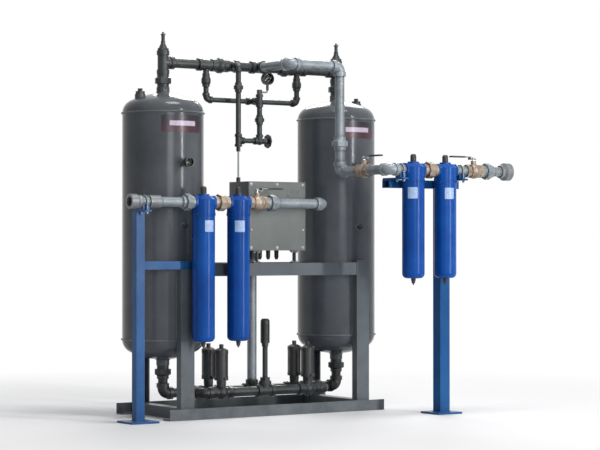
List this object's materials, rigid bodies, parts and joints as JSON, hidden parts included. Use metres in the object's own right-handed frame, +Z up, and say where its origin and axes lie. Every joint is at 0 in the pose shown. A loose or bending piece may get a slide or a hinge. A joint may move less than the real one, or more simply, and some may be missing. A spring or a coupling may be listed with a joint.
{
  "type": "desiccant air dryer",
  "caption": "Heatless desiccant air dryer: upright domed tanks on a welded stand with a piped manifold, purge loop, control box, blue line filters and lever valves.",
  "frame": {"origin": "On the floor, midway between the four anchor holes of the base rails.", "axes": "+Z is up, the two towers stand along X, and the control box and gauges face -Y."},
  "size_m": [1.994, 1.0495, 1.917],
  "materials": {
    "tower_paint": "satin gray enamel",
    "frame_paint": "satin gray enamel",
    "pipe_paint": "gray enamel over threaded iron fittings",
    "zinc": "galvanised, dull and slightly mottled",
    "brass": "dull cast brass",
    "filter_blue": "blue powder coat on cast aluminium",
    "post_blue": "blue enamel",
    "black_plastic": "moulded",
    "black_paint": "black satin coat",
    "lever_steel": "plated lever with a dipped dark grip",
    "ball_chrome": "polished",
    "dial_face": "black dial with white marks",
    "lens": "clear flat window",
    "needle": "white",
    "box_paint": "light gray powder coat",
    "desiccant": "pale beads",
    "screen_steel": "wire screen",
    "element": "filter media"
  },
  "bodies": {
    "root": {"tower_left": "tower_paint", "tower_right": "tower_paint", "desiccant_beds": "desiccant", "bed_screens": "screen_steel", "port_plugs": "pipe_paint", "legs": "frame_paint", "mid_rails": "frame_paint", "base_rails": "frame_paint", "base_ties": "frame_paint", "tower_unions": "pipe_paint", "manifold_tees": "pipe_paint", "outlet_check_valves": "pipe_paint", "manifold_pipes": "pipe_paint", "relief_valves": "pipe_paint", "purge_check_valves": "pipe_paint", "purge_pipes": "pipe_paint", "purge_fittings": "pipe_paint", "purge_valve_body": "pipe_paint", "small_tubing": "zinc", "line_pipes": "zinc", "line_elbows": "zinc", "line_unions": "zinc", "end_couplings": "zinc", "brass_unions": "brass", "filter_heads": "filter_blue", "prefilter_bowls": "filter_blue", "afterfilter_bowls": "filter_blue", "filter_elements": "element", "pressure_drop_indicators": "black_plastic", "filter_drains": "black_plastic", "valve_bodies": "brass", "gauge_cases": "black_paint", "gauge_dials": "dial_face", "gauge_lenses": "lens", "control_box": "box_paint", "box_cover": "box_paint", "box_mounts": "frame_paint", "cable_glands": "black_plastic", "lower_fittings": "pipe_paint", "lower_pipes": "pipe_paint", "switching_valves": "pipe_paint", "actuators": "black_paint", "muffler": "black_paint", "posts": "post_blue", "post_bases": "post_blue", "filter_arm": "post_blue", "pipe_saddles": "post_blue", "u_bolts": "zinc", "brace_bar": "post_blue"},
    "inlet_lever": {"inlet_valve_ball": "ball_chrome", "inlet_valve_lever": "lever_steel"},
    "after_lever": {"after_valve_ball": "ball_chrome", "after_valve_lever": "lever_steel"},
    "outlet_lever": {"outlet_valve_ball": "ball_chrome", "outlet_valve_lever": "lever_steel"},
    "handwheel": {"purge_stem": "zinc", "purge_handwheel": "black_paint"},
    "left_needle": {"left_pointer": "needle"},
    "right_needle": {"right_pointer": "needle"},
    "purge_needle": {"purge_pointer": "needle"}
  },
  "joints": [
    {"name": "inlet_valve_turn", "type": "hinge", "parent": "root", "child": "inlet_lever", "pos_m": [-0.168, -0.315, 1.062], "axis": [0, 0, -1], "range_deg": [0, 90]},
    {"name": "after_valve_turn", "type": "hinge", "parent": "root", "child": "after_lever", "pos_m": [0.345, -0.5065, 1.228], "axis": [0, 0, -1], "range_deg": [0, 90]},
    {"name": "outlet_valve_turn", "type": "hinge", "parent": "root", "child": "outlet_lever", "pos_m": [0.875, -0.72, 1.228], "axis": [0, 0, 1], "range_deg": [0, 90]},
    {"name": "purge_valve_turn", "type": "hinge", "parent": "root", "child": "handwheel", "pos_m": [0.045, -0.072, 1.384], "axis": [1, 0, 0], "range_deg": [0, 720]},
    {"name": "left_gauge_needle", "type": "hinge", "parent": "root", "child": "left_needle", "pos_m": [-0.525, -0.2435, 1.26], "axis": [0, 1, 0], "range_deg": [0, 270], "stiffness_Nm_per_rad": 0.002},
    {"name": "right_gauge_needle", "type": "hinge", "parent": "root", "child": "right_needle", "pos_m": [0.525, -0.2435, 1.26], "axis": [0, 1, 0], "range_deg": [0, 270], "stiffness_Nm_per_rad": 0.002},
    {"name": "purge_gauge_needle", "type": "hinge", "parent": "root", "child": "purge_needle", "pos_m": [0.048, -0.0635, 1.704], "axis": [0, 1, 0], "range_deg": [0, 270], "stiffness_Nm_per_rad": 0.002}
  ]
}
